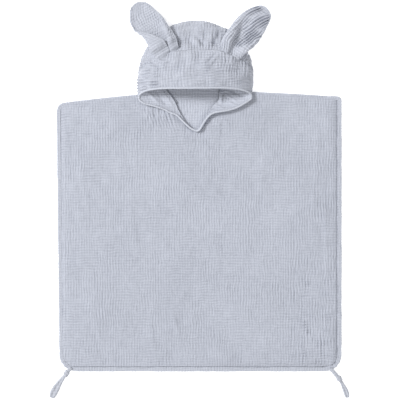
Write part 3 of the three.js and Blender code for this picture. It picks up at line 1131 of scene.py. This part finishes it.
def makeFaceBinding():
    phi = np.linspace(tape["faceFrom"], math.pi - tape["faceFrom"], 120)
    base = shellPoint(phi, lipY(phi))
    ups = np.stack([-np.cos(phi), np.full_like(phi, -0.15), np.sin(phi)], axis=1)
    path = base - tape["sink"] * ups
    path[:, 1] -= tape["ahead"]
    first = hoodY + tape["turnFrom"] * hoodR
    last = hoodY + tape["turnTo"] * hoodR
    ends = []
    for side in ("left", "right"):
        edge = edgeOf(sides[side][1])
        ends.append(edge[(edge[:, 1] < first) & (edge[:, 1] > last)][::2])
    path = np.vstack([ends[0][::-1], path, ends[1]])
    ups = np.vstack([levelUps(len(ends[0])), ups, levelUps(len(ends[1]))])
    both = curveThrough(np.hstack([path, 0.004 * ups]), 340)
    obj = tube("faceBinding", both[:, :3], both[:, 3:], roundedRing(*tape["size"], 12, 2.3))
    dress(obj, tapeCloth)
    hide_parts("face_binding")
    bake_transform(obj)
    return obj


faceTape = makeFaceBinding()
slitTape = makeSlitBinding()
print("hood sides and face binding ready")


# ears
# Each section is (share of the length, left edge, right edge, places, lifts), in millimetres. The
# places run from the cloth's left edge to its right one, as -1 to 1 between the edges. Where they double
# back, the cloth is folded.
tipPlaces = (-1.0, -0.9, -0.8, -0.6, -0.3, 0.0, 0.3, 0.6, 0.8, 1.0)
tipLifts = (1,) * len(tipPlaces)
earShapes = {
    "left": [
        (0.00, -22, 24, (0.05, -0.5, -0.97, -0.93, -0.5, 0.15, 0.25, 0.5, 0.75, 0.98),
         (5, 7, 4, 1, 0, 0, 5, 7, 5, 2)),
        (0.10, -25, 27, (0.18, -0.45, -0.99, -0.93, -0.5, 0.2, 0.3, 0.52, 0.75, 1.0),
         (8, 11, 6, 1, 0, -1, 7, 9, 6, 2)),
        (0.22, -27, 30, (0.14, -0.45, -1.0, -0.93, -0.5, 0.28, 0.42, 0.62, 0.8, 1.0),
         (9, 12, 7, 1, 0, -1, 6, 9, 6, 2)),
        (0.34, -26.5, 30, (-0.2, -0.6, -1.0, -0.93, -0.5, 0.35, 0.55, 0.7, 0.85, 1.0),
         (9, 11, 6, 1, 0, 0, 5, 8, 6, 2)),
        (0.45, -27.5, 28.5, (-0.55, -0.8, -1.0, -0.93, -0.5, 0.4, 0.66, 0.8, 0.9, 1.0),
         (7, 8, 5, 1, 0, 0, 3, 6, 5, 2)),
        (0.53, -32, 28.5, (-0.8, -0.92, -1.0, -0.92, -0.5, 0.4, 0.7, 0.85, 0.93, 1.0),
         (5, 5, 3.5, 1, 0, 0, 2, 4, 4, 2)),
        (0.62, -37, 26.5, (-0.97, -0.99, -1.0, -0.88, -0.5, 0.3, 0.7, 0.86, 0.94, 1.0),
         (3, 3, 2, 1, 0, 0, 1, 3, 3, 2)),
        (0.75, -35.5, 21.5, (-1.0, -0.96, -0.9, -0.76, -0.4, 0.0, 0.4, 0.7, 0.88, 1.0),
         (2, 3, 2, 1, 0, 1, 1, 2, 2, 1)),
        (0.85, -30.5, 18.0, (-1.0, -0.95, -0.88, -0.72, -0.4, 0.0, 0.4, 0.7, 0.88, 1.0),
         (1, 2, 2, 1, 1, 1, 1, 2, 2, 1)),
        (0.93, -23.5, 12.5, (-1.0, -0.94, -0.85, -0.7, -0.4, 0.0, 0.4, 0.7, 0.88, 1.0),
         (1, 1, 2, 1, 1, 1, 1, 1, 1, 1)),
        (0.98, -17.0, 5.5, tipPlaces, tipLifts),
        (1.00, -12.0, -1.0, tipPlaces, tipLifts),
    ],
    "right": [
        (0.00, -24, 20, (-1.0, -0.7, -0.3, -0.06, 0.0, 0.25, 0.5, 0.8, 0.98, 0.88),
         (2, 6, 8, 5, -1, 0, 5, 5, 3, 0)),
        (0.10, -28, 22.5, (-1.0, -0.85, -0.5, -0.20, -0.12, 0.2, 0.5, 0.8, 1.0, 0.88),
         (2, 10, 13, 9, -1, 0, 4, 5, 3, 0)),
        (0.24, -31, 26.5, (-1.0, -0.88, -0.62, -0.40, -0.31, 0.1, 0.5, 0.8, 1.0, 0.92),
         (2, 10, 13, 9, -1, 0, 3, 5, 3, 0)),
        (0.35, -31, 29.5, (-1.0, -0.90, -0.70, -0.50, -0.42, 0.0, 0.5, 0.8, 1.0, 0.95),
         (2, 9, 11, 7, 0, 0, 3, 5, 3, 0)),
        (0.46, -31.5, 32, (-1.0, -0.92, -0.76, -0.60, -0.50, 0.0, 0.5, 0.8, 0.97, 1.0),
         (2, 7, 8, 5, 0, 0, 2, 4, 3, 1)),
        (0.60, -30.5, 31, (-1.0, -0.9, -0.78, -0.62, -0.44, 0.0, 0.5, 0.8, 0.95, 1.0),
         (2, 4, 4, 2, 1, 1, 2, 3, 2, 1)),
        (0.74, -26, 28.5, (-1.0, -0.9, -0.78, -0.6, -0.4, 0.0, 0.5, 0.8, 0.95, 1.0),
         (2, 3, 3, 2, 1, 2, 2, 2, 2, 1)),
        (0.84, -20, 26.5, (-1.0, -0.9, -0.78, -0.6, -0.4, 0.0, 0.5, 0.8, 0.95, 1.0),
         (1, 2, 2, 2, 2, 2, 2, 2, 1, 1)),
        (0.92, -13, 23, (-1.0, -0.9, -0.78, -0.6, -0.4, 0.0, 0.4, 0.7, 0.9, 1.0),
         (1, 1, 2, 2, 2, 2, 2, 1, 1, 1)),
        (0.975, -6.5, 16, tipPlaces, tipLifts),
        (1.00, -1.0, 9, tipPlaces, tipLifts),
    ],
}
earFit = {
    "left": {"base": (-0.455, 0.360), "tip": (-1.000, 1.318), "tipZ": 0.0045, "stripes": 0.7,
             "cloth": earCloth},
    # the right ear wears the lighter cloth: painted light over the shade of its stripes
    "right": {"base": (0.569, 0.340), "tip": (1.205, 1.245), "tipZ": 0.0045, "stripes": 2.9,
              "cloth": stripedPaintedLightCloth},
}


ear = {
    "thickness": 0.0013,  # of each of the two layers
    "overlap": -0.0001,  # the outer layer stands this far into the lining
    "grid": (88, 124),
    "crinkle": 0.00042,
    "edge": (0.0030, 0.0034),  # width and height of the turned edge
    "bendFrom": 0.002,  # places before and after the seam
    "bendTo": 0.034,
}


def splineRows(keys, values, at):
    # cubic Hermite through values at uneven keys, without overshoot
    keys = np.asarray(keys, float)
    steps = np.diff(keys)
    shape = (len(steps),) + (1,) * (values.ndim - 1)
    slopes = np.diff(values, axis=0) / steps.reshape(shape)
    tangents = np.zeros_like(values)
    tangents[1:-1] = np.where(slopes[:-1] * slopes[1:] > 0,
                              2 * slopes[:-1] * slopes[1:] / (slopes[:-1] + slopes[1:] + 1e-12), 0)
    tangents[0] = slopes[0]
    tangents[-1] = slopes[-1]
    k = np.clip(np.searchsorted(keys, at, side="right") - 1, 0, len(steps) - 1)
    grow = (len(at),) + (1,) * (values.ndim - 1)
    h = steps[k].reshape(grow)
    t = ((at - keys[k]) / steps[k]).reshape(grow)
    return ((2 * t ** 3 - 3 * t ** 2 + 1) * values[k] + (t ** 3 - 2 * t ** 2 + t) * h * tangents[k]
            + (3 * t ** 2 - 2 * t ** 3) * values[k + 1] + (t ** 3 - t ** 2) * h * tangents[k + 1])


def earSurface(side):
    columns, rows = ear["grid"]
    keys = [row[0] for row in earShapes[side]]
    sections = []
    for _, low, high, places, lifts in earShapes[side]:
        middle = (low + high) / 2
        half = (high - low) / 2
        sections.append(curveThrough([(middle + a * half, b) for a, b in zip(places, lifts)], columns))
    along = 1 - (1 - np.linspace(0, 1, rows)) ** 1.25
    grid = splineRows(keys, np.array(sections) * 0.001, along)
    across = grid[..., 0]
    lift = grid[..., 1]
    fit = earFit[side]
    start = hoodPlan([fit["base"]])[0]
    end = hoodPlan([fit["tip"]])[0]
    length = np.linalg.norm(end - start)
    heading = (end - start) / length
    sideways = np.array([heading[1], -heading[0]])
    # the base line follows the seam, so the cloth's ends start a little further out
    place = np.linspace(-1, 1, columns)[None, :]
    ahead = along[:, None] * length + 0.003 * np.exp(-along[:, None] / 0.08) * place ** 2
    ahead = ahead - 0.0010 * smoothStep(0.93, 1.0, along)[:, None] * place ** 2
    plan = start[None, None] + ahead[..., None] * heading + across[..., None] * sideways
    surface = 0.0030 + hoodHeightAt(plan[..., 0], plan[..., 1])
    baseZ = 0.0060 + hoodHeightAt(np.array([start[0]]), np.array([start[1]]))[0]
    free = baseZ + (fit["tipZ"] - baseZ) * along[:, None] ** 1.05
    emerge = smoothStep(0.03, 0.18, along)[:, None]
    z = np.maximum(free, surface + 0.0045 * emerge) + lift * (0.15 + 0.85 * emerge)
    tuck = 1 - smoothStep(0.06, 0.22, along)[:, None]
    z = z + (surface + 0.0006 + lift * 0.45 - z) * tuck
    z = z - 0.0045 * (1 - smoothStep(0.0, 0.06, along)[:, None])
    points = np.concatenate([plan, z[..., None]], axis=2)
    gap = np.cumsum(np.linalg.norm(np.diff(points, axis=1, prepend=points[:, :1]), axis=2), axis=1)
    uv = asPoints(gap + clothAt["rightEar"] * (side == "right"),
                   np.broadcast_to(along[:, None] * length, gap.shape))
    n = normalsOf(points)
    if n[..., 2].mean() < 0:
        n = -n
    stripes = fit["stripes"]
    slant = uv[..., 0] * 1.1 + 0.05 * uv[..., 1]
    fine = ear["crinkle"] * (stripes * sample(upright, slant, uv[..., 1] * 0.5)
                             + 0.5 / stripes * sample(level, uv[..., 0], uv[..., 1] + 0.2))
    quiet = smoothStep(0, 0.03, along)[:, None] * (1 - smoothStep(0.90, 0.98, along))[:, None]
    quiet = quiet * (0.35 + 0.65 * smoothStep(0.12, 0.36, along))[:, None]
    quiet = quiet * (1 - 0.7 * smoothStep(0.93, 1.0, np.abs(np.linspace(-1, 1, columns))))[None, :]
    points = points + n * (fine * quiet)[..., None]
    return points, n, uv, heading, start


def makeEar(side):
    points, n, uv, heading, start = earSurface(side)
    made = []
    for title, node, shift in (("Lining", "lining", ear["thickness"]), ("Outer", "outer", ear["overlap"])):
        layer, coords = facingUp(points + n * shift, uv)
        obj = thickSheet(side + "Ear" + title, layer, coords, ear["thickness"])
        dress(obj, earFit[side]["cloth"])
        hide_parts(f"{side}_ear_{node}")
        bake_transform(obj)
        made.append(obj)

    # the turned edge that closes the two layers all round
    first = 3
    loop = np.vstack([points[first:-1, 0], points[-1, :], points[first:-1, -1][::-1]])
    loopUp = np.vstack([n[first:-1, 0], n[-1, :], n[first:-1, -1][::-1]])
    keep = spaced(loop, 0.0024)
    path = curveThrough(np.hstack([loop[keep], loopUp[keep]]), 300)
    edge = tube(side + "EarEdge", path[:, :3], path[:, 3:], roundedRing(*ear["edge"], 10, 2.2))
    dress(edge, earFit[side]["cloth"])
    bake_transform(edge)
    made.append(edge)
    return made


ears = {side: makeEar(side) for side in ("left", "right")}
print("ears ready")


# corner ties
tieShapes = {
    "left": {"start": (-0.2700, -0.3540), "knot": (-0.2795, -0.3665), "tip": (-0.3120, -0.4180),
             "width": 0.0165},
    "right": {"start": (0.2780, -0.3560), "knot": (0.2960, -0.3765), "tip": (0.3150, -0.4175),
              "width": 0.0118},
}
tie = {
    "thickness": 0.0026,
    "grid": (60, 26),
    "bow": 0.0022,
    "turns": 1.45,  # of the strip round the knot
    "core": 0.0036,
    "knotZ": 0.0068,
    "strip": (0.0068, 0.0034),  # width and height in the knot
    "stub": (0.0080, 0.0040),  # and where it runs back under the binding
    "bendFrom": 0.004,
    "bendTo": 0.015,
}


def makeTie(side):
    spec = tieShapes[side]
    start = np.array(spec["start"])
    knot = np.array(spec["knot"])
    tip = np.array(spec["tip"])
    # tail: a folded strip, a leaf in plan
    rows, columns = tie["grid"]
    a = np.linspace(0, 1, rows)
    t = np.linspace(-1, 1, columns)
    run = tip - knot
    length = np.linalg.norm(run)
    heading = run / length
    sideways = np.array([heading[1], -heading[0]])
    half = spec["width"] / 2
    widthAt = np.interp(a, [0, 0.12, 0.35, 0.6, 0.82, 0.93, 0.98, 1.0],
                        [0.0035, 0.0036, half * 0.62, half * 0.92, half, half * 0.84, half * 0.62,
                         half * 0.42])
    bow = tie["bow"] * np.sin(math.pi * a) * (1 if side == "left" else -0.7)
    plan = (knot[None, None] + (a * length)[:, None, None] * heading
            + ((widthAt[:, None] * t[None, :]) + bow[:, None])[..., None] * sideways)
    rise = 0.0052 * (1 - smoothStep(0.0, 0.35, a)) + 0.0036
    z = (rise[:, None] + 0.0016 * (1 - t[None, :] ** 2)
         - 0.0009 * np.cos(t[None, :] * 5.0) * smoothStep(0.1, 0.5, a)[:, None]
         + 0.00016 * sample(upright, plan[..., 0], plan[..., 1]))
    points, uv = facingUp(np.concatenate([plan, z[..., None]], axis=2), plan)
    tail = thickSheet(side + "TieTail", points, uv, tie["thickness"])
    dress(tail, tieCloth)
    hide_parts(side + "_tie_tail")
    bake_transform(tail)

    # knot: the strip wound once round itself, and the stub that runs back under the binding
    turns = np.linspace(0, 2 * math.pi * tie["turns"], 90)
    core = tie["core"]
    centre = np.array([*knot, tie["knotZ"]])
    axis = np.array([*heading, 0.0])
    across = np.array([*sideways, 0.0])
    spin = (centre[None] + np.outer(np.cos(turns) * core * 1.15, across)
            + np.outer(np.sin(turns) * core * 0.95, [0, 0, 1])
            + np.outer(np.linspace(-0.0035, 0.0035, len(turns)), axis))
    radial = spin - centre
    radial -= np.outer(radial @ axis, axis)
    obj = tube(side + "TieKnot", spin, radial, roundedRing(*tie["strip"], 12, 2.4))
    stubPath = curveThrough([(*start, 0.0064), (*(start + knot) / 2, 0.0078), tuple(centre)], 24)
    stub = tube(side + "TieStub", stubPath, levelUps(24), roundedRing(*tie["stub"], 12, 2.6))
    joinInto(obj, stub)
    dress(obj, tieCloth)
    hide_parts(side + "_tie_knot")
    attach(obj, "front")
    return tail, obj


ties = {side: makeTie(side) for side in ("left", "right")}
print("ties ready")


# what moves with what
for obj in (front, frontTape, frontStitches, slitTape, sides["left"][0], sides["right"][0]):
    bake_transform(obj)
for obj in (back, backTape, backStitches):
    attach(obj, "back")
